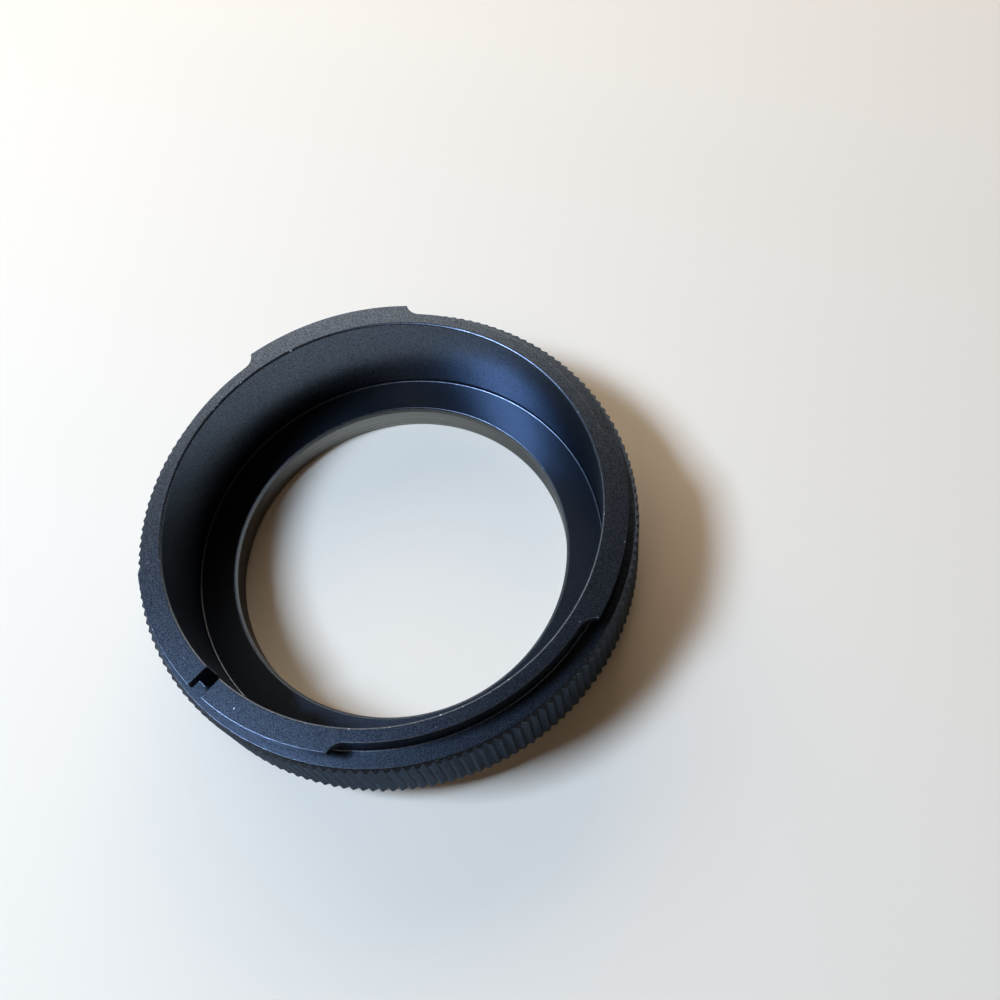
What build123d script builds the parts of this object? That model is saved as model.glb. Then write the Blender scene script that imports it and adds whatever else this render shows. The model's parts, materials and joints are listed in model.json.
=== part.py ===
from build123d import *
from math import acos, degrees
import os

os.makedirs("parts", exist_ok=True)

# Lens mount adapter, millimetres: one ring turned from bar, then knurled and milled.
# +Z is the optical axis. The lens side is at Z = 0 and the camera bayonet is on top.

# Heights along the axis
spigot_length = 3.8          # lens-side spigot below the grip band
grip_height = 9.1            # grip band, from the spigot's shoulder to the flange seat
bayonet_height = 2.85        # flange seat to the top of the rim
lug_thickness = 1.1
ledge_height = 3.65          # top of the inner ledge above the lens-side face

# Radial sizes, stacked outwards from the plain bore
bore_radius = 19.8
ledge_width = 4.4            # bore to tube wall
spigot_wall = 1.8            # tube wall to the crest of the lens thread
neck_wall = 1.65             # tube wall to the bottom of the neck groove
lug_reach = 1.05             # lugs beyond the neck
seat_margin = 0.8            # flange seat beyond the lugs
grip_margin = 0.38           # knurl tips beyond the flange seat

# Edges
rim_chamfer = 0.25           # inner edge of the rim
ledge_bevel = 0.4            # what the tool leaves in the corner of the ledge
lip_bevel_width = 0.29       # bevel from the ledge into the bore
lip_bevel_height = 0.55
grip_bevel_height = 0.68     # bevel that the teeth run out into, under the flange seat
grip_chamfer = 0.45          # lower end of the teeth
edge_break = 0.15
thread_lead_in = 0.45        # chamfer at the start of the lens thread
relief_width = 0.8           # thread run-out groove at the shoulder
relief_depth = 0.6

# Straight knurl
tooth_count = 165
tooth_depth = 0.33
tooth_phase = 0.0            # angle of the first tip

# Bayonet lugs and lock slot, angles in degrees from +X
long_lug_angle = 216.6       # middle of the lug
long_lug_span = 67.5
right_lug_angle = 340.8
right_lug_span = 46.4
far_lug_angle = 95.3
far_lug_span = 42.5
cutter_radius = 1.75         # end mill that clears the gaps between the lugs
cutter_bite = 0.1            # how far the mill goes below the turned neck
lock_slot_width = 1.9

# Places that follow from the sizes
seat_height = spigot_length + grip_height
rim_height = seat_height + bayonet_height
tube_radius = bore_radius + ledge_width
thread_radius = tube_radius + spigot_wall
neck_radius = tube_radius + neck_wall
lug_radius = neck_radius + lug_reach
seat_radius = lug_radius + seat_margin
tip_radius = seat_radius + grip_margin
root_radius = tip_radius - tooth_depth
path_radius = neck_radius - cutter_bite + cutter_radius


def gap_between(lug_angle, lug_span, next_angle, next_span):
    """Start and sweep of the mill's path from one lug's end to the next lug's start."""
    cosine = (path_radius**2 + lug_radius**2 - cutter_radius**2) / (2 * path_radius * lug_radius)
    corner = degrees(acos(cosine))
    start = lug_angle + lug_span / 2 + corner
    end = next_angle - next_span / 2 - corner
    return start, (end - start) % 360


with BuildPart() as adapter_ring:
    # Turned blank: half section from the bore round to the bore again
    with BuildSketch(Plane.XZ):
        with BuildLine():
            Polyline(
                (bore_radius + edge_break, 0),
                (thread_radius - thread_lead_in, 0),
                (thread_radius, thread_lead_in),
                (thread_radius, spigot_length - relief_width),
                (thread_radius - relief_depth, spigot_length - relief_width),
                (thread_radius - relief_depth, spigot_length),
                (tip_radius - grip_chamfer, spigot_length),
                (tip_radius, spigot_length + grip_chamfer),
                (tip_radius, seat_height - grip_bevel_height),
                (seat_radius, seat_height),
                (neck_radius, seat_height),
                (neck_radius, rim_height - lug_thickness),
                (lug_radius, rim_height - lug_thickness),
                (lug_radius, rim_height - edge_break),
                (lug_radius - edge_break, rim_height),
                (tube_radius + rim_chamfer, rim_height),
                (tube_radius, rim_height - rim_chamfer),
                (tube_radius, ledge_height + ledge_bevel),
                (tube_radius - ledge_bevel, ledge_height),
                (bore_radius + lip_bevel_width, ledge_height),
                (bore_radius, ledge_height - lip_bevel_height),
                (bore_radius, edge_break),
                close=True,
            )
        make_face()
    revolve(axis=Axis.Z)

    # Straight knurl: the grip band keeps only what lies inside a ring of V teeth
    half_pitch = 180 / tooth_count
    with BuildSketch():
        with BuildLine():
            Polyline(
                [
                    Vector(tip_radius if step % 2 == 0 else root_radius, 0).rotate(
                        Axis.Z, tooth_phase + step * half_pitch
                    )
                    for step in range(2 * tooth_count)
                ],
                close=True,
            )
        make_face()
    extrude(amount=rim_height, mode=Mode.INTERSECT)

    # Gaps between the lugs: one end-mill pass each, down to the flange seat
    lugs = [
        (long_lug_angle, long_lug_span),
        (right_lug_angle, right_lug_span),
        (far_lug_angle, far_lug_span),
    ]
    with BuildSketch(Plane.XY.offset(seat_height)):
        for lug, next_lug in zip(lugs, lugs[1:] + lugs[:1]):
            start, sweep_angle = gap_between(*lug, *next_lug)
            mill_path = CenterArc((0, 0), path_radius, start, sweep_angle, mode=Mode.PRIVATE)
            SlotArc(mill_path, height=2 * cutter_radius)
    extrude(amount=bayonet_height, mode=Mode.SUBTRACT)

    # Lock slot: right through the rim in the middle of the long lug
    with BuildSketch(Plane.XY.offset(seat_height)):
        with PolarLocations((tube_radius + lug_radius) / 2, 1, start_angle=long_lug_angle):
            Rectangle(2 * (lug_radius - tube_radius), lock_slot_width)
    extrude(amount=bayonet_height, mode=Mode.SUBTRACT)

adapter_ring.part.label = "adapter_ring"
export_step(adapter_ring.part, "parts/adapter_ring.step")
print("lug circle", 2 * lug_radius, "thread", 2 * thread_radius, "height", rim_height)
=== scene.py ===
# %% [markdown]
# # Lens mount adapter
# The real object is one ring, turned on a lathe from aluminium bar, milled, blasted with fine
# beads and anodised black. A camera's bayonet takes hold of the lugs on top, and a lens screws
# on below. The CAD ring gives the place and the size. Here it is drawn again as a finer mesh,
# with broken edges, a cut thread and a finish that can be looked at closely.

# %% Load the CAD ring
import json
import math
from collections import namedtuple

import bmesh
import bpy
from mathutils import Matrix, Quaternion, Vector


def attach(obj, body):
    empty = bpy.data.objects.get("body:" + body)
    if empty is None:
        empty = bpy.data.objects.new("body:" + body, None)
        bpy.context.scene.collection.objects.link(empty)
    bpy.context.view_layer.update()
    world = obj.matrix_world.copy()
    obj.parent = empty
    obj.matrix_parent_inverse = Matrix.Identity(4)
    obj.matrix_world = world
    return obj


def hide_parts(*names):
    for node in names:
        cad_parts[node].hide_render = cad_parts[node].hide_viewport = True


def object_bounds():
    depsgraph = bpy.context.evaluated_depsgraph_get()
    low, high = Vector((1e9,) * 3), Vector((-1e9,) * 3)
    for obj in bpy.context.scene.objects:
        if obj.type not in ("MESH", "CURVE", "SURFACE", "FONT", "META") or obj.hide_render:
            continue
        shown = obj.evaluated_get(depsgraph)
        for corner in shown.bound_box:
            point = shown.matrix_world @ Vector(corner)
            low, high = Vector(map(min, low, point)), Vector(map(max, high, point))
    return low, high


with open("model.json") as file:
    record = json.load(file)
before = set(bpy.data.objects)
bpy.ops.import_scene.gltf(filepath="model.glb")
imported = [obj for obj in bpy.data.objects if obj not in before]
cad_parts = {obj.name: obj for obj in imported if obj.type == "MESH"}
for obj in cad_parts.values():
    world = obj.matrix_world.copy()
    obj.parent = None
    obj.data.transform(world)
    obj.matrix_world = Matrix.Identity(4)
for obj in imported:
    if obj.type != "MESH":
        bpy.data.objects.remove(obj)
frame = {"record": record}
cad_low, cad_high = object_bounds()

MM = 0.001
print("CAD box in mm:", [round(side / MM, 2) for side in cad_high - cad_low])

# %% [markdown]
# ## The sizes
# A lathe part is best thought of as one half-section that is swept round an axis. The radii and
# heights are those of the CAD ring: the ones that another part fits come from its record, and the
# rest are written here. Two small edges differ: the bevel under the flange is a little flatter here,
# and the corner of the ledge is round. All sizes are in millimetres, as on a drawing, and become
# metres only when the mesh is made.

# %% Sizes of the ring
mounts = {mount["name"]: mount for mount in frame["record"]["mounts"]}
BORE_R = mounts["light_bore"]["dims"]["r_mm"]
TUBE_R = mounts["tube_bore"]["dims"]["r_mm"]
THREAD_R = mounts["lens_thread"]["dims"]["r_mm"]
SEAT_Z = mounts["camera_bayonet"]["pos_m"][2] / MM
RIM_Z = cad_high.z / MM
TIP_R = cad_high.x / MM

SHOULDER_Z = 3.8
LEDGE_Z = 3.65
BEVEL_WIDTH = 0.46
SEAT_R = TIP_R - BEVEL_WIDTH
NECK_R = 25.85
LUG_R = 26.9
LUG_THICKNESS = 1.1
UNDERCUT_Z = RIM_Z - LUG_THICKNESS
print(f"rim {RIM_Z:.2f}, seat {SEAT_Z:.2f}, knurl tip radius {TIP_R:.2f}, bore radius {BORE_R:.2f}")

# %% [markdown]
# ## The milled outline of the rim
# Seen from above, the rim is a circle with three lugs. An end mill cuts the gaps between them, so
# a gap ends in the curve of the cutter and not in a square corner. The outline is one function of
# the angle: the lug's radius, the neck's radius in a gap, and the cutter's circle between them.
# A smooth minimum rounds the lug's corner the way blasting does.

# %% Outline of the lugs
CUTTER_R = 1.75
CUTTER_BITE = 0.1
PATH_R = NECK_R - CUTTER_BITE + CUTTER_R
CORNER_ROUND = 0.12
# Each lug is the angle of its middle and its width, both in degrees.
LUGS = ((216.6, 67.5), (340.8, 46.4), (95.3, 42.5))


def angle_between(first, second):
    """Signed angle from the second direction to the first, from -180 to 180 degrees."""
    return (first - second + 180) % 360 - 180


def smooth_minimum(first, second, width):
    """The smaller of two lengths, with the corner where they cross rounded off."""
    share = max(width - abs(first - second), 0) / width
    return min(first, second) - share * share * width / 4


CORNER_TURN = math.degrees(
    math.acos((PATH_R**2 + LUG_R**2 - CUTTER_R**2) / (2 * PATH_R * LUG_R))
)


def rim_radius(angle):
    """Radius of the rim's outside at an angle in degrees."""
    inside_lug = max(span / 2 - abs(angle_between(angle, lug)) for lug, span in LUGS)
    past_cutter = math.radians(max(inside_lug + CORNER_TURN, 0))
    aside = PATH_R * math.sin(past_cutter)
    if aside >= CUTTER_R:
        return LUG_R
    flank = PATH_R * math.cos(past_cutter) - math.sqrt(CUTTER_R**2 - aside**2)
    return smooth_minimum(flank, LUG_R, CORNER_ROUND)


on_lug = LUGS[0][0]
in_gap = (LUGS[0][0] + LUGS[2][0]) / 2
print(f"rim radius on a lug {rim_radius(on_lug):.2f}, in a gap {rim_radius(in_gap):.2f}")

# %% [markdown]
# ## The half-section
# The section is a closed chain of rows, from the foot of the bore outwards, up the outside and
# down again inside. Spin would sweep it, but here three things change with the angle: the lugs,
# the lock slot and the climbing thread. So the section is a function, and is worked out afresh for
# each column of points round the ring. A rounded edge is a few rows close together, and catches the
# thin line of light that makes metal look machined. One more row stands a hair away on each side
# of it, so the smooth shading of the edge ends there and the faces beside it stay flat. Each row
# also carries what later steps need: its share of the knurl's height, its place on the thread, how
# worn its edge is, and whether its face was left as turned.

# %% Rows of the half-section
EDGE = 0.15
RIM_EDGE = 0.07
HOLD = 0.04
GRIP_CHAMFER = 0.45
GRIP_BEVEL = 0.4
SHOULDER_R = TIP_R - GRIP_CHAMFER
PITCH = 0.75
LEAD_IN = 0.45
RELIEF_DEPTH = 0.6
RELIEF_WIDTH = 0.8
RELIEF_R = THREAD_R - RELIEF_DEPTH
THREAD_TOP = SHOULDER_Z - RELIEF_WIDTH
# The flat crest and the flat root of the thread, as shares of its pitch to each side.
CREST_HALF = 1 / 16
ROOT_HALF = 1 / 8
THREAD_PHASES = (CREST_HALF, 0.5 - ROOT_HALF, 0.5 + ROOT_HALF, 1 - CREST_HALF)
BEVEL_LEAN = math.degrees(math.atan2(BEVEL_WIDTH, GRIP_BEVEL))
SEAT_ROUND = 0.04
SEAT_TANGENT = SEAT_ROUND * math.tan(math.radians(90 - BEVEL_LEAN) / 2)
RIM_ROUND = 0.25
LEDGE_FILLET = 0.25
LIP_WIDTH = 0.29
LIP_HEIGHT = 0.55
LIP_TURN = math.degrees(math.atan2(LIP_HEIGHT, LIP_WIDTH))
LIP_ROUND = 0.12
LIP_TANGENT = LIP_ROUND * math.tan(math.radians(LIP_TURN) / 2)
# A row that isn't on the knurl or the thread carries this value there.
OFF = -1.0

Row = namedtuple("Row", "radius height knurl_run thread_phase wear turned bayonet")


def rounded(radius, height, size, start, end, steps=5):
    """Points of an arc about a centre, with one more point a hair before it and one after."""
    turns = [math.radians(start + (end - start) * step / steps) for step in range(steps + 1)]
    arc = [(radius + size * math.cos(turn), height + size * math.sin(turn)) for turn in turns]
    way = math.copysign(HOLD, end - start)
    first, last = turns[0], turns[-1]
    before = (arc[0][0] + way * math.sin(first), arc[0][1] - way * math.cos(first))
    after = (arc[-1][0] - way * math.sin(last), arc[-1][1] + way * math.cos(last))
    return [before, *arc, after]


def section(angle, inset=0.0):
    """The ring's rows at an angle. An inset draws the bayonet's faces in, for a broken wall edge."""
    rim = rim_radius(angle)
    neck_foot = min(NECK_R, rim) + EDGE
    neck_round = EDGE + inset
    neck = neck_foot - neck_round
    rim -= inset
    under = UNDERCUT_Z + inset
    top = RIM_Z - inset
    tube = TUBE_R + inset
    rows = []

    def add(radius, height, knurl_run=OFF, thread_phase=OFF, wear=0.0, turned=0.0, bayonet=False):
        rows.append(Row(radius, height, knurl_run, thread_phase, wear, turned, bayonet))

    def add_rounded(*arc, wear=0.0, bayonet=False):
        before, *edge, after = rounded(*arc)
        add(*before, bayonet=bayonet)
        for point in edge:
            add(*point, wear=wear, bayonet=bayonet)
        add(*after, bayonet=bayonet)

    # Lens-side face, thread and its run-out groove.
    add(BORE_R + EDGE, 0, wear=0.5)
    add(THREAD_R - LEAD_IN, 0)
    for turn in range(math.ceil(THREAD_TOP / PITCH) + 1):
        for phase in THREAD_PHASES:
            climb = (turn + phase - 1 + angle / 360) * PITCH
            if climb <= 0:
                add(THREAD_R - LEAD_IN, 0)
            elif climb >= THREAD_TOP:
                add(RELIEF_R, THREAD_TOP)
            else:
                add(THREAD_R, climb, thread_phase=phase)
    add(RELIEF_R, THREAD_TOP)
    add(RELIEF_R, SHOULDER_Z)

    # Grip band and flange seat.
    add(SHOULDER_R, SHOULDER_Z, wear=0.3)
    add(TIP_R, SHOULDER_Z + GRIP_CHAMFER, knurl_run=0.0, wear=0.3)
    add(TIP_R, SEAT_Z - GRIP_BEVEL, knurl_run=1.0, wear=0.5)
    seat_middle = SEAT_R - SEAT_TANGENT
    add_rounded(seat_middle, SEAT_Z - SEAT_ROUND, SEAT_ROUND, BEVEL_LEAN, 90, wear=0.8)
    seat_end, *neck_fillet = rounded(neck_foot, SEAT_Z + neck_round, neck_round, 270, 180)
    add(*seat_end)

    # Neck, lug and rim.
    for point in neck_fillet:
        add(*point, bayonet=True)
    add(neck, under, bayonet=True)
    add(max(rim - EDGE / 2, neck), under, wear=0.5, bayonet=True)
    add(rim, under + EDGE / 2, wear=0.6, bayonet=True)
    add_rounded(rim - RIM_EDGE, top - RIM_EDGE, RIM_EDGE, 0, 90, wear=1.0, bayonet=True)
    add((rim + tube) / 2, top, bayonet=True)
    add_rounded(tube + RIM_ROUND, top - RIM_ROUND, RIM_ROUND, 90, 180, wear=1.0, bayonet=True)

    # Tube, ledge, lip and bore.
    add(tube, SEAT_Z + EDGE, bayonet=True)
    add(TUBE_R, SEAT_Z, bayonet=True)
    add(TUBE_R, SEAT_Z - EDGE)
    add(TUBE_R, (SEAT_Z + LEDGE_Z) / 2)
    add_rounded(TUBE_R - LEDGE_FILLET, LEDGE_Z + LEDGE_FILLET, LEDGE_FILLET, 0, -90)
    lip_middle = BORE_R + LIP_WIDTH + LIP_TANGENT
    add_rounded(lip_middle, LEDGE_Z - LIP_ROUND, LIP_ROUND, 90, 90 + LIP_TURN, wear=0.6)
    add(BORE_R, LEDGE_Z - LIP_HEIGHT, wear=0.4, turned=1.0)
    add(BORE_R, EDGE, wear=0.4, turned=1.0)
    return rows


print(len(section(0)), "rows in a section")

# %% [markdown]
# ## The columns round the ring
# A knurl is many small V grooves, so every groove needs its own columns of points: two beside the
# crest and two beside the root. Extra columns stand close together where the cutter's curve ends a
# lug, and beside the lock slot, the one straight cut across the rim. There the columns run parallel
# with the slot's walls and not towards the axis, because an end mill leaves parallel walls.

# %% Angles of the columns
TEETH = 165
TIP_FLAT = 0.055
GROOVE_FLAT = 0.04
SLOT_ANGLE = LUGS[0][0]
SLOT_HALF = 0.95
SLOT_SIDE = 0.5
WALL_BREAK = 0.09
# Steps along a cutter's curve and beside a lug's corner, in degrees.
SWING_COUNT = 11
SWING_STEP = 9.5
CORNER_STEPS = (-0.3, -0.15, -0.06, 0.06)
TOO_CLOSE = 0.03


def slot_turn(aside):
    """Angle of a column that passes beside the slot's middle line at this distance."""
    return SLOT_ANGLE + math.degrees(math.asin(aside / LUG_R))


cut_angles = []
for lug, span in LUGS:
    for side in (-1, 1):
        path_end = lug + side * (span / 2 + CORNER_TURN)
        for step in range(SWING_COUNT):
            swing = math.radians(-90 + SWING_STEP * step)
            across = CUTTER_R * math.cos(swing)
            along = PATH_R + CUTTER_R * math.sin(swing)
            cut_angles.append(path_end - side * math.degrees(math.atan2(across, along)))
        corner = lug + side * span / 2
        cut_angles += [corner + step for step in CORNER_STEPS]
for side in (-1, 1):
    for aside in (SLOT_HALF, SLOT_HALF + WALL_BREAK, SLOT_HALF + SLOT_SIDE):
        cut_angles.append(slot_turn(side * aside))
cut_angles = [0.0] + [angle % 360 for angle in cut_angles] + [360.0]

tooth_angles = []
for tooth in range(TEETH):
    for share in (-TIP_FLAT, TIP_FLAT, 0.5 - GROOVE_FLAT, 0.5 + GROOVE_FLAT):
        angle = (tooth + share) * 360 / TEETH % 360
        if min(abs(angle - cut) for cut in cut_angles) > TOO_CLOSE:
            tooth_angles.append(angle)
angles = sorted(cut_angles + tooth_angles)
print(len(angles), "columns round the ring")

# %% [markdown]
# ## The blank
# The columns are joined into one closed skin. At each wall of the slot two columns stand at the
# same angle, one with the full section drawn in a little and one cut down to the slot's floor, and
# a single face between them is the wall. The last column lies on the first, and merging the doubles
# later closes the seam: the climbing thread then meets itself one turn further up.

# %% Points and faces of the blank
# Columns run parallel with the slot up to the first angle, and towards the axis from the second on.
SLOT_NEAR = 3.5
SLOT_FADE = 7.0
SAME_POINT = 0.001


def floor_of_slot(rows):
    """The same rows, with the bayonet cut away down to the flange's seat."""
    lowered = []
    reach = NECK_R + EDGE
    for row in rows:
        if row.bayonet:
            reach = min(row.radius, reach)
            row = row._replace(radius=reach, height=SEAT_Z, wear=0.0)
        lowered.append(row)
    return lowered


def row_turn(angle, row):
    """Angle of one row's point, pulled parallel with the slot's walls near the slot."""
    from_slot = angle_between(angle, SLOT_ANGLE)
    pull = (SLOT_FADE - abs(from_slot)) / (SLOT_FADE - SLOT_NEAR)
    pull = min(max(pull, 0), 1)
    if not row.bayonet or pull == 0:
        return math.radians(angle)
    aside = LUG_R * math.sin(math.radians(from_slot))
    parallel = math.degrees(math.asin(aside / row.radius))
    return math.radians(angle + pull * (parallel - from_slot))


columns = []
walls = set()
slot_walls = [slot_turn(-SLOT_HALF), slot_turn(SLOT_HALF)]
for angle in angles:
    rows = section(angle)
    if angle == slot_walls[0]:
        walls.add(len(columns))
        columns += [(angle, section(angle, WALL_BREAK)), (angle, floor_of_slot(rows))]
    elif angle == slot_walls[1]:
        walls.add(len(columns))
        columns += [(angle, floor_of_slot(rows)), (angle, section(angle, WALL_BREAK))]
    elif slot_walls[0] < angle < slot_walls[1]:
        columns.append((angle, floor_of_slot(rows)))
    else:
        columns.append((angle, rows))

row_count = len(columns[0][1])
points = []
for angle, rows in columns:
    for row in rows:
        turn = row_turn(angle, row)
        points.append(
            Vector((row.radius * math.cos(turn), row.radius * math.sin(turn), row.height)) * MM
        )

faces = []
for column in range(len(columns) - 1):
    here = column * row_count
    there = here + row_count
    if column in walls:
        cut = [index for index, row in enumerate(columns[column][1]) if row.bayonet]
        outline = [here + index for index in cut] + [there + index for index in reversed(cut)]
        faces.append([
            index for place, index in enumerate(outline)
            if (points[index] - points[outline[place - 1]]).length > SAME_POINT * MM
        ])
        continue
    for row in range(row_count):
        after = (row + 1) % row_count
        faces.append([here + row, there + row, there + after, here + after])

blank = bpy.data.meshes.new("adapter_ring_blank")
blank.from_pydata(points, [], faces)
for name in ("knurl_run", "thread_phase", "wear", "turned"):
    values = [getattr(row, name) for _, rows in columns for row in rows]
    blank.attributes.new(name, "FLOAT", "POINT").data.foreach_set("value", values)
ring = bpy.data.objects.new("adapter_ring_machined", blank)
bpy.context.scene.collection.objects.link(ring)
print(len(points), "points and", len(faces), "faces in the blank")

# %% [markdown]
# ## Knurl and thread
# A knurling wheel presses the same groove all round the grip, and the thread is one groove that
# climbs the spigot. Both follow a rule, so a Geometry Nodes tree cuts them: it reads each point's
# angle or its place on the thread, finds the radius there and moves the point. The knurl's rows
# also slide along the two bevels, so the zigzag edge at the flange is a true edge of the mesh. The
# sizes are inputs of the tree, so another tooth depth or thread depth needs no change to the nodes.
# A node's sockets are given by number where several of them share a name.

# %% Helper that adds a node
def add_node(tree, kind, inputs=None, **settings):
    """Adds a node, sets its options, then fills or links its inputs. Gives back its outputs."""
    node = tree.nodes.new(kind)
    for option, value in settings.items():
        setattr(node, option, value)
    for socket, value in (inputs or {}).items():
        if isinstance(value, bpy.types.NodeSocket):
            tree.links.new(value, node.inputs[socket])
        else:
            node.inputs[socket].default_value = value
    return node.outputs


# %% Inputs of the cutting tree
TOOTH_DEPTH = 0.33
THREAD_DEPTH = 0.46
cutting = bpy.data.node_groups.new("knurl_and_thread", "GeometryNodeTree")
cutting.interface.new_socket("Geometry", in_out="INPUT", socket_type="NodeSocketGeometry")
cutting.interface.new_socket("Geometry", in_out="OUTPUT", socket_type="NodeSocketGeometry")
cut_sizes = {
    "Teeth": TEETH,
    "Tip flat": TIP_FLAT,
    "Groove flat": GROOVE_FLAT,
    "Tip radius": TIP_R * MM,
    "Tooth depth": TOOTH_DEPTH * MM,
    "Seat radius": SEAT_R * MM,
    "Seat height": SEAT_Z * MM,
    "Grip bevel": GRIP_BEVEL * MM,
    "Shoulder height": SHOULDER_Z * MM,
    "Grip chamfer": GRIP_CHAMFER * MM,
    "Thread radius": THREAD_R * MM,
    "Thread depth": THREAD_DEPTH * MM,
    "Thread lead-in": LEAD_IN * MM,
}
size_sockets = {}
for name in cut_sizes:
    size_sockets[name] = cutting.interface.new_socket(
        name, in_out="INPUT", socket_type="NodeSocketFloat"
    )
size = add_node(cutting, "NodeGroupInput")
print(len(size_sockets), "sizes go into the cutting tree")

# %% Where each point stands
place = add_node(cutting, "GeometryNodeInputPosition")[0]
split = add_node(cutting, "ShaderNodeSeparateXYZ", {0: place})
turn = add_node(cutting, "ShaderNodeMath", {0: split["Y"], 1: split["X"]}, operation="ARCTAN2")[0]
cosine = add_node(cutting, "ShaderNodeMath", {0: turn}, operation="COSINE")[0]
sine = add_node(cutting, "ShaderNodeMath", {0: turn}, operation="SINE")[0]
outward = add_node(cutting, "ShaderNodeCombineXYZ", {0: cosine, 1: sine})[0]
print(len(cutting.nodes), "nodes find where a point stands")

# %% Knurl
run = add_node(cutting, "GeometryNodeInputNamedAttribute", {"Name": "knurl_run"})[0]
on_grip = add_node(cutting, "ShaderNodeMath", {0: run, 1: OFF / 2}, operation="GREATER_THAN")[0]
share = add_node(cutting, "ShaderNodeMath", {0: turn, 1: math.tau}, operation="DIVIDE")[0]
tooth = add_node(cutting, "ShaderNodeMath", {0: share, 1: size["Teeth"]}, operation="MULTIPLY")[0]
from_tip = add_node(cutting, "ShaderNodeMath", {0: tooth, 1: 0.5}, operation="PINGPONG")[0]
to_groove = add_node(
    cutting, "ShaderNodeMath", {0: 0.5, 1: size["Groove flat"]}, operation="SUBTRACT"
)[0]
groove_radius = add_node(
    cutting, "ShaderNodeMath", {0: size["Tip radius"], 1: size["Tooth depth"]}, operation="SUBTRACT"
)[0]
knurl_radius = add_node(
    cutting,
    "ShaderNodeMapRange",
    {0: from_tip, 1: size["Tip flat"], 2: to_groove, 3: size["Tip radius"], 4: groove_radius},
)[0]
bevel_foot = add_node(
    cutting, "ShaderNodeMath", {0: size["Seat height"], 1: size["Grip bevel"]}, operation="SUBTRACT"
)[0]
upper_end = add_node(
    cutting,
    "ShaderNodeMapRange",
    {
        0: knurl_radius,
        1: size["Seat radius"],
        2: size["Tip radius"],
        3: size["Seat height"],
        4: bevel_foot,
    },
    clamp=False,
)[0]
chamfer_radius = add_node(
    cutting, "ShaderNodeMath", {0: size["Tip radius"], 1: size["Grip chamfer"]}, operation="SUBTRACT"
)[0]
chamfer_rise = add_node(
    cutting, "ShaderNodeMath", {0: knurl_radius, 1: chamfer_radius}, operation="SUBTRACT"
)[0]
lower_end = add_node(
    cutting, "ShaderNodeMath", {0: size["Shoulder height"], 1: chamfer_rise}, operation="ADD"
)[0]
knurl_height = add_node(cutting, "ShaderNodeMapRange", {0: run, 3: lower_end, 4: upper_end})[0]
knurl_lift = add_node(cutting, "ShaderNodeCombineXYZ", {2: knurl_height})[0]
knurl_place = add_node(
    cutting,
    "ShaderNodeVectorMath",
    {0: outward, 1: knurl_radius, 2: knurl_lift},
    operation="MULTIPLY_ADD",
)[0]
knurled = add_node(
    cutting, "GeometryNodeSetPosition", {0: size["Geometry"], 1: on_grip, 2: knurl_place}
)[0]
print(f"{TEETH} teeth, one every {math.tau * TIP_R / TEETH:.2f} mm")

# %% Thread
phase = add_node(cutting, "GeometryNodeInputNamedAttribute", {"Name": "thread_phase"})[0]
on_thread = add_node(cutting, "ShaderNodeMath", {0: phase, 1: OFF / 2}, operation="GREATER_THAN")[0]
from_crest = add_node(cutting, "ShaderNodeMath", {0: phase, 1: 0.5}, operation="PINGPONG")[0]
root_radius = add_node(
    cutting, "ShaderNodeMath", {0: size["Thread radius"], 1: size["Thread depth"]}, operation="SUBTRACT"
)[0]
groove_cut = add_node(
    cutting,
    "ShaderNodeMapRange",
    {0: from_crest, 1: CREST_HALF, 2: 0.5 - ROOT_HALF, 3: size["Thread radius"], 4: root_radius},
)[0]
foot_radius = add_node(
    cutting,
    "ShaderNodeMath",
    {0: size["Thread radius"], 1: size["Thread lead-in"]},
    operation="SUBTRACT",
)[0]
lead_in = add_node(cutting, "ShaderNodeMath", {0: foot_radius, 1: split["Z"]}, operation="ADD")[0]
thread_radius = add_node(
    cutting, "ShaderNodeMath", {0: groove_cut, 1: lead_in}, operation="MINIMUM"
)[0]
thread_lift = add_node(cutting, "ShaderNodeCombineXYZ", {2: split["Z"]})[0]
thread_place = add_node(
    cutting,
    "ShaderNodeVectorMath",
    {0: outward, 1: thread_radius, 2: thread_lift},
    operation="MULTIPLY_ADD",
)[0]
threaded = add_node(
    cutting, "GeometryNodeSetPosition", {0: knurled, 1: on_thread, 2: thread_place}
)[0]
print(f"thread {2 * THREAD_R:.1f} mm across, pitch {PITCH} mm")

# %% End of the tree
WELD = 0.002
anodised = bpy.data.materials.new("blasted_black_anodised_aluminium")
welded = add_node(
    cutting, "GeometryNodeMergeByDistance", {"Geometry": threaded, "Distance": WELD * MM}
)[0]
real = add_node(cutting, "GeometryNodeRealizeInstances", {0: welded})[0]
finished = add_node(cutting, "GeometryNodeSetMaterial", {"Geometry": real, "Material": anodised})[0]
add_node(cutting, "NodeGroupOutput", {0: finished})

cutter = ring.modifiers.new("cutting", "NODES")
cutter.node_group = cutting
for name, value in cut_sizes.items():
    cutter[size_sockets[name].identifier] = float(value)
print(len(cutting.nodes), "nodes in the cutting tree")

# %% [markdown]
# ## One plain mesh
# The evaluated ring becomes a plain mesh, because the exported part carries no modifiers of this
# kind. Edges that turn by more than 25 degrees stay sharp, as on the teeth of the knurl, and the
# softer steps of the rounded edges are shaded smooth.

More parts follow.
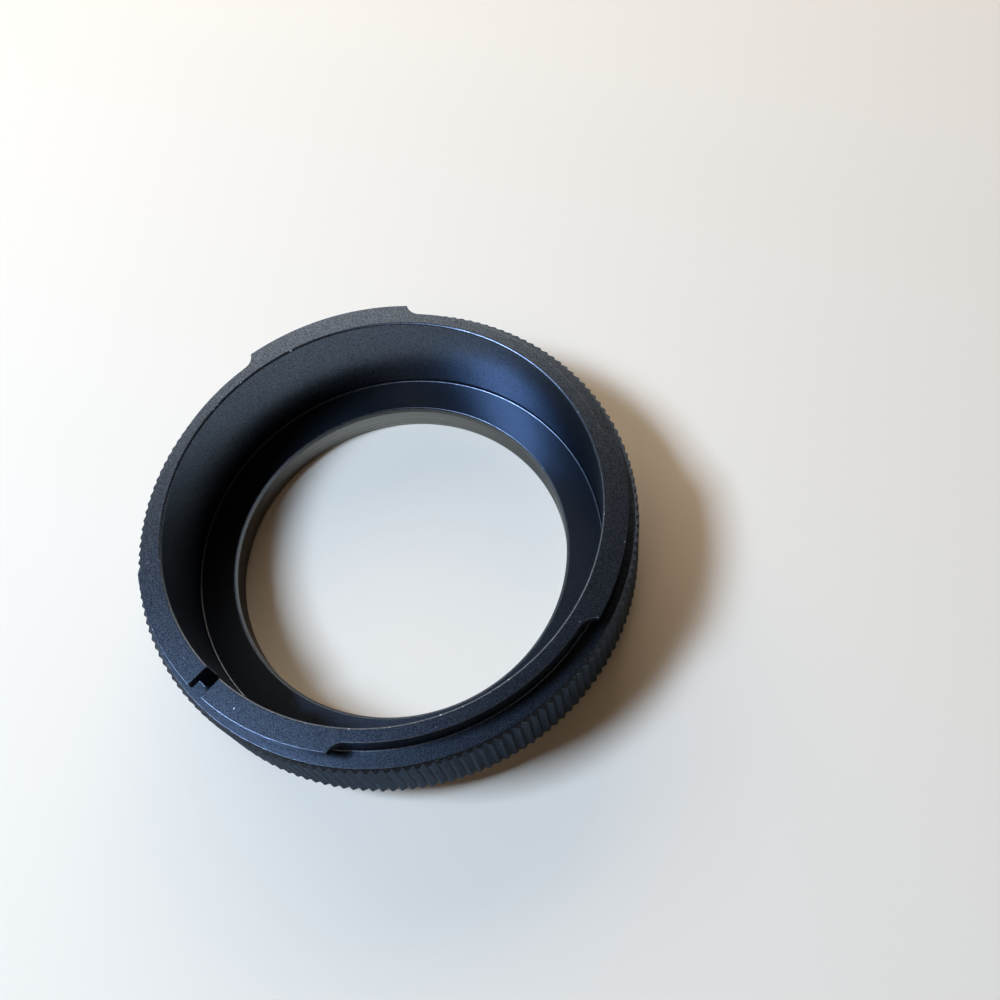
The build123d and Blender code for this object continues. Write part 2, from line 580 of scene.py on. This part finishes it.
# %% Turn the cut ring into a mesh
SHARP = math.radians(25)
TINY = 0.0005
depsgraph = bpy.context.evaluated_depsgraph_get()
machined = bpy.data.meshes.new_from_object(
    ring.evaluated_get(depsgraph), preserve_all_data_layers=True, depsgraph=depsgraph
)
ring.modifiers.remove(cutter)
ring.data = machined
work = bmesh.new()
work.from_mesh(machined)
bmesh.ops.dissolve_degenerate(work, dist=TINY * MM, edges=work.edges)
bmesh.ops.recalc_face_normals(work, faces=work.faces)
open_edges = sum(not edge.is_manifold for edge in work.edges)
work.to_mesh(machined)
work.free()
machined.shade_smooth()
machined.set_sharp_from_angle(angle=SHARP)
machined.calc_loop_triangles()
print(len(machined.loop_triangles), "triangles,", open_edges, "open edges")

# %% [markdown]
# ## The finish
# Bead blasting leaves a field of tiny dents, and the black dye sits in the clear oxide that grows
# on them. The eye sees the metal through the dyed oxide: a dim sheen, broken into lighter and darker
# grains by the dents. So the shader is a metal with a dark colour. At a flat angle the light goes a
# long way through the dye and the sheen fades, so the tint of the edges is dark as well. Only the
# wall of the bore was left as turned: it is a little lighter, and in place of the grain it has the
# fine rings that a lathe tool leaves. Where an edge has been knocked, the oxide is gone and bare
# aluminium shows as a bright nick. The nicks follow the wear value that the rows carry.

# %% Colours as sRGB
def linear(code):
    """An sRGB hex colour as linear red, green, blue and alpha."""
    parts = [int(code[start:start + 2], 16) / 255 for start in (1, 3, 5)]
    straight = [part / 12.92 if part <= 0.04045 else ((part + 0.055) / 1.055) ** 2.4 for part in parts]
    return straight + [1.0]


print("mid grey in linear light:", round(linear("#808080")[0], 3))

# %% Blasted black anodised aluminium
# The dents of fine beads are about 0.05 mm wide. They are drawn nearly twice as wide, to show.
# A lathe tool leaves a ring about every 0.1 mm. The rings are drawn coarser too.
DENT = 0.085
DENT_DEPTH = 0.005
RING_WIDTH = 0.25
NICK = 0.3
# The noise values where a grain, a ring and a nick begin and end, and what wear adds to a nick's.
GRAIN_FROM = 0.36
GRAIN_TO = 0.64
RING_FROM = 0.35
RING_TO = 0.65
NICK_FROM = 0.8
NICK_TO = 0.83
WEAR_ADDS = 0.08
SATIN = 0.28
SCUFFED = 0.5
anodised.use_nodes = True
finish = anodised.node_tree
finish.nodes.clear()
spot = add_node(finish, "ShaderNodeTexCoord")["Object"]
dents = add_node(
    finish, "ShaderNodeTexNoise", {"Vector": spot, "Scale": 1 / (DENT * MM), "Detail": 1.0}
)["Fac"]
relief = add_node(finish, "ShaderNodeBump", {"Height": dents, "Distance": DENT_DEPTH * MM})[0]
grain = add_node(finish, "ShaderNodeMapRange", {0: dents, 1: GRAIN_FROM, 2: GRAIN_TO})[0]
sheen = add_node(
    finish,
    "ShaderNodeMix",
    {0: grain, 6: linear("#34383e"), 7: linear("#727a85")},
    data_type="RGBA",
)[2]
knocks = add_node(
    finish, "ShaderNodeTexNoise", {"Vector": spot, "Scale": 1 / (NICK * MM), "Detail": 1.0}
)["Fac"]
worn = add_node(finish, "ShaderNodeAttribute", attribute_name="wear")["Fac"]
knocked = add_node(
    finish, "ShaderNodeMath", {0: worn, 1: WEAR_ADDS, 2: knocks}, operation="MULTIPLY_ADD"
)[0]
bare = add_node(finish, "ShaderNodeMapRange", {0: knocked, 1: NICK_FROM, 2: NICK_TO})[0]
height = add_node(finish, "ShaderNodeSeparateXYZ", {0: spot})["Z"]
rings = add_node(
    finish,
    "ShaderNodeTexNoise",
    {"W": height, "Scale": 1 / (RING_WIDTH * MM)},
    noise_dimensions="1D",
)["Fac"]
feed = add_node(finish, "ShaderNodeMapRange", {0: rings, 1: RING_FROM, 2: RING_TO})[0]
lathed = add_node(
    finish,
    "ShaderNodeMix",
    {0: feed, 6: linear("#767471"), 7: linear("#98968f")},
    data_type="RGBA",
)[2]
turned = add_node(finish, "ShaderNodeAttribute", attribute_name="turned")["Fac"]
dyed = add_node(finish, "ShaderNodeMix", {0: turned, 6: sheen, 7: lathed}, data_type="RGBA")[2]
skin = add_node(
    finish, "ShaderNodeMix", {0: bare, 6: dyed, 7: linear("#d6d8dc")}, data_type="RGBA"
)[2]
roughness = add_node(finish, "ShaderNodeMapRange", {0: bare, 3: SATIN, 4: SCUFFED})[0]
shader = add_node(
    finish,
    "ShaderNodeBsdfPrincipled",
    {
        "Base Color": skin,
        "Metallic": 1.0,
        "Roughness": roughness,
        "Specular Tint": linear("#9a9da1"),
        "Normal": relief,
    },
)[0]
add_node(finish, "ShaderNodeOutputMaterial", {0: shader})
print(len(finish.nodes), "nodes in the finish")

# %% The ring takes its place in the frame
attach(ring, "root")
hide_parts("adapter_ring")
print(ring.name, "stands for adapter_ring")

# %% [markdown]
# ## Floor and light
# The ring lies on a plain pale floor, which fades into the room well away from it, so no edge of the
# floor shows. A cool window on the left throws the shadow to the right and lays a blue sheen on the
# near left of the rim. A wide pale panel behind gives the sheen on the far half. A warm panel on the
# right and a weak lamp on the near side light the shadow a little, so it turns brown. Black metal
# shows little but its reflections, so the room is pale near the floor and dim above.

# %% Floor
# The board is matt. It scatters light evenly, so it takes a soft shadow and no reflection.
FLOOR_HALF = 500
FADE_FROM = 200
FADE_TO = 450
floor_mesh = bpy.data.meshes.new("floor")
square = ((-1, -1, 0), (1, -1, 0), (1, 1, 0), (-1, 1, 0))
corners = [Vector(corner) * FLOOR_HALF * MM for corner in square]
floor_mesh.from_pydata(corners, [], [(0, 1, 2, 3)])
floor = bpy.data.objects.new("floor", floor_mesh)
bpy.context.scene.collection.objects.link(floor)
board = bpy.data.materials.new("pale_matt_board")
board.use_nodes = True
matt = board.node_tree
matt.nodes.clear()
from_ring = add_node(matt, "ShaderNodeTexCoord")["Object"]
distance = add_node(matt, "ShaderNodeVectorMath", {0: from_ring}, operation="LENGTH")["Value"]
cover = add_node(
    matt,
    "ShaderNodeMapRange",
    {0: distance, 1: FADE_FROM * MM, 2: FADE_TO * MM, 3: 1.0, 4: 0.0},
    interpolation_type="SMOOTHSTEP",
)[0]
board_shader = add_node(
    matt,
    "ShaderNodeBsdfPrincipled",
    {
        "Base Color": linear("#f8e3c6"),
        "Roughness": 0.8,
        "Specular IOR Level": 0.2,
        "Alpha": cover,
    },
)[0]
add_node(matt, "ShaderNodeOutputMaterial", {0: board_shader})
floor_mesh.materials.append(board)
print("floor fades out between", FADE_FROM, "and", FADE_TO, "mm from the ring")

# %% Window and panels
def aim(azimuth, elevation):
    """A direction from the ring, as an angle round it and an angle above the floor."""
    turn, rise = math.radians(azimuth), math.radians(elevation)
    level = math.cos(rise)
    return Vector((math.cos(turn) * level, math.sin(turn) * level, math.sin(rise)))


def add_panel(name, azimuth, elevation, distance, width, height, power, code):
    """A wide soft light that faces the ring. Its distance and its sides are in millimetres."""
    lamp = bpy.data.lights.new(name, "AREA")
    lamp.shape = "RECTANGLE"
    lamp.size = width * MM
    lamp.size_y = height * MM
    lamp.energy = power
    lamp.color = linear(code)[:3]
    panel = bpy.data.objects.new(name, lamp)
    direction = aim(azimuth, elevation)
    panel.location = direction * distance * MM
    panel.rotation_mode = "QUATERNION"
    panel.rotation_quaternion = direction.to_track_quat("Z", "Y")
    bpy.context.scene.collection.objects.link(panel)


add_panel(
    "window",
    azimuth=183, elevation=56, distance=500, width=150, height=120, power=3.7, code="#b4d3ff",
)
add_panel(
    "back_panel",
    azimuth=94, elevation=34, distance=400, width=500, height=250, power=0.85, code="#fffbf5",
)
add_panel(
    "warm_panel",
    azimuth=57, elevation=25, distance=500, width=400, height=250, power=0.3, code="#ffe0c0",
)
add_panel(
    "near_lamp",
    azimuth=240, elevation=54, distance=500, width=100, height=100, power=0.1, code="#ffe4c8",
)
print("lights:", [lamp.name for lamp in bpy.data.lights])

# %% Room
# The height here is the upward part of a direction, from 0 at the horizon to 1 straight up.
DIM_FROM = 0.3
world = bpy.data.worlds.new("room")
bpy.context.scene.world = world
world.use_nodes = True
room = world.node_tree
room.nodes.clear()
direction = add_node(room, "ShaderNodeTexCoord")["Generated"]
height = add_node(room, "ShaderNodeSeparateXYZ", {0: direction})["Z"]
rise = add_node(
    room, "ShaderNodeMapRange", {0: height, 1: 0.0, 2: DIM_FROM}, interpolation_type="SMOOTHSTEP"
)[0]
shade = add_node(
    room,
    "ShaderNodeMix",
    {0: rise, 6: linear("#e6e3df"), 7: linear("#2a2521")},
    data_type="RGBA",
)[2]
backdrop = add_node(room, "ShaderNodeBackground", {0: shade})[0]
add_node(room, "ShaderNodeOutputWorld", {0: backdrop})
bpy.context.scene.view_settings.view_transform = "Standard"
print(len(room.nodes), "nodes in the room")

# %% [markdown]
# ## Camera
# The photograph was taken from close by and from above the near side, with the camera rolled a
# little. The place, the roll and the focal length were found by fitting the ring's circles.

# %% Camera at the photograph's angle
camera_data = bpy.data.cameras.new("camera")
camera_data.lens = 37.52
camera_data.sensor_width = 36.0
camera_data.clip_start = 0.005
camera = bpy.data.objects.new("camera", camera_data)
camera.location = Vector((12.997, -54.515, 114.746)) * MM
looking = Vector((0, 0.46427, -0.88569))
roll = Quaternion((0, 0, 1), math.radians(-13.07))
camera.rotation_mode = "QUATERNION"
camera.rotation_quaternion = looking.to_track_quat("-Z", "Y") @ roll
bpy.context.scene.collection.objects.link(camera)
bpy.context.scene.camera = camera
print(f"camera {camera.location.length / MM:.0f} mm from the ring's origin")
